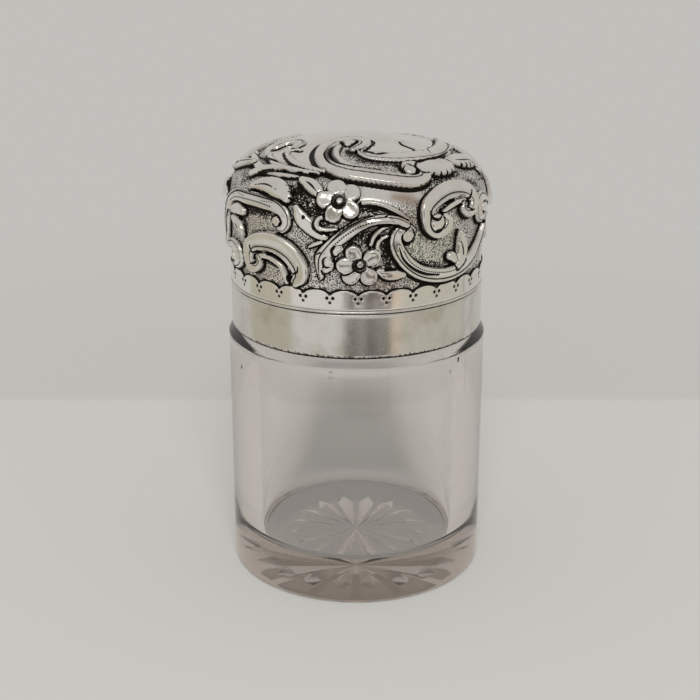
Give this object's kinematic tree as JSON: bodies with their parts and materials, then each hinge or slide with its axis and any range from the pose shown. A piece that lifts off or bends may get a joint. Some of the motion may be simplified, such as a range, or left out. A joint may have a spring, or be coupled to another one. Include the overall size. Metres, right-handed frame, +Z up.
{
  "type": "lidded jar",
  "caption": "Thick round glass jar with a star cut under its base, a plain silver collar cemented round its neck, and a domed chased silver lid that lifts straight off.",
  "frame": {"origin": "centre of the base, where the glass stands on a table", "axes": "+Z up along the jar's axis, -Y towards the viewer of the picture"},
  "size_m": [0.0524, 0.0526, 0.0879],
  "materials": {
    "clear_glass": "polished",
    "plaster": "matte",
    "bright_silver": "polished",
    "chased_silver": "gloss"
  },
  "bodies": {
    "jar": {"glass_jar": "clear_glass", "neck_cement": "plaster", "collar_band": "bright_silver", "collar_bezel": "bright_silver"},
    "lid": {"lid_shell": "chased_silver", "lid_liner": "bright_silver", "lid_edge_wire": "bright_silver"}
  },
  "joints": [
    {"name": "lid_lift", "type": "slide", "parent": "jar", "child": "lid", "axis": [0, 0, 1], "range_m": [0, 0.045]}
  ]
}
